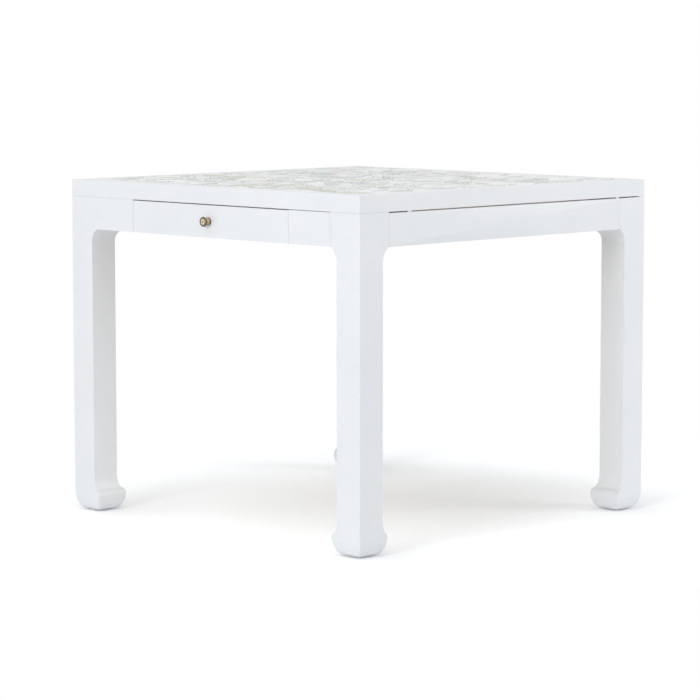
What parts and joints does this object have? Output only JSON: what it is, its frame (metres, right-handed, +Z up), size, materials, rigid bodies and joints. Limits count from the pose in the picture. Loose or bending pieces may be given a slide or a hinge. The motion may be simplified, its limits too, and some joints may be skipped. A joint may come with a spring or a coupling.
{
  "type": "games table",
  "caption": "Square games table in white lacquer with a patterned inlaid top, shouldered legs on hoof feet and a drawer with a brass knob on opposite sides.",
  "frame": {"origin": "on the floor, under the middle of the square top", "axes": "+Z up, -Y towards the front drawer, +X to the right of someone who faces the front drawer"},
  "size_m": [0.914, 0.95, 0.752],
  "materials": {
    "white_lacquer": "smooth white satin lacquer over close-grained wood",
    "patterned_panel": "off-white panel with a sage, blue-grey and sand leaf pattern under clear lacquer",
    "bare_wood": "planed bare hardwood",
    "knob_brass": "turned and polished, a little aged in the grooves",
    "zinc_steel": "zinc-plated steel",
    "felt": "pressed grey felt"
  },
  "bodies": {
    "table": {"apron_back_left": "white_lacquer", "apron_back_right": "white_lacquer", "apron_front_left": "white_lacquer", "apron_front_right": "white_lacquer", "apron_left": "white_lacquer", "apron_right": "white_lacquer", "block_screws": "zinc_steel", "corner_block_back_left": "bare_wood", "corner_block_back_right": "bare_wood", "corner_block_front_left": "bare_wood", "corner_block_front_right": "bare_wood", "dowels": "bare_wood", "foot_pads": "felt", "guide_left": "bare_wood", "guide_right": "bare_wood", "hanger_bolts": "zinc_steel", "hanger_nuts": "zinc_steel", "hanger_washers": "zinc_steel", "leg_back_left": "white_lacquer", "leg_back_right": "white_lacquer", "leg_front_left": "white_lacquer", "leg_front_right": "white_lacquer", "lipping_back": "white_lacquer", "lipping_front": "white_lacquer", "lipping_left": "white_lacquer", "lipping_right": "white_lacquer", "middle_rail": "bare_wood", "runner_back_left": "bare_wood", "runner_back_right": "bare_wood", "runner_front_left": "bare_wood", "runner_front_right": "bare_wood", "runner_screws": "zinc_steel", "top_core": "bare_wood", "top_inlay": "patterned_panel", "top_screws": "zinc_steel", "top_spacers": "bare_wood"},
    "front_drawer": {"front_drawer_back": "bare_wood", "front_drawer_bottom": "bare_wood", "front_drawer_bottom_screws": "zinc_steel", "front_drawer_face": "white_lacquer", "front_drawer_side_left": "bare_wood", "front_drawer_side_right": "bare_wood", "front_knob": "knob_brass", "front_knob_screw": "zinc_steel"},
    "back_drawer": {"back_drawer_back": "bare_wood", "back_drawer_bottom": "bare_wood", "back_drawer_bottom_screws": "zinc_steel", "back_drawer_face": "white_lacquer", "back_drawer_side_left": "bare_wood", "back_drawer_side_right": "bare_wood", "back_knob": "knob_brass", "back_knob_screw": "zinc_steel"}
  },
  "joints": [
    {"name": "front_drawer_slide", "type": "slide", "parent": "table", "child": "front_drawer", "axis": [0, -1, 0], "range_m": [0, 0.28]},
    {"name": "back_drawer_slide", "type": "slide", "parent": "table", "child": "back_drawer", "axis": [0, 1, 0], "range_m": [0, 0.28]}
  ]
}
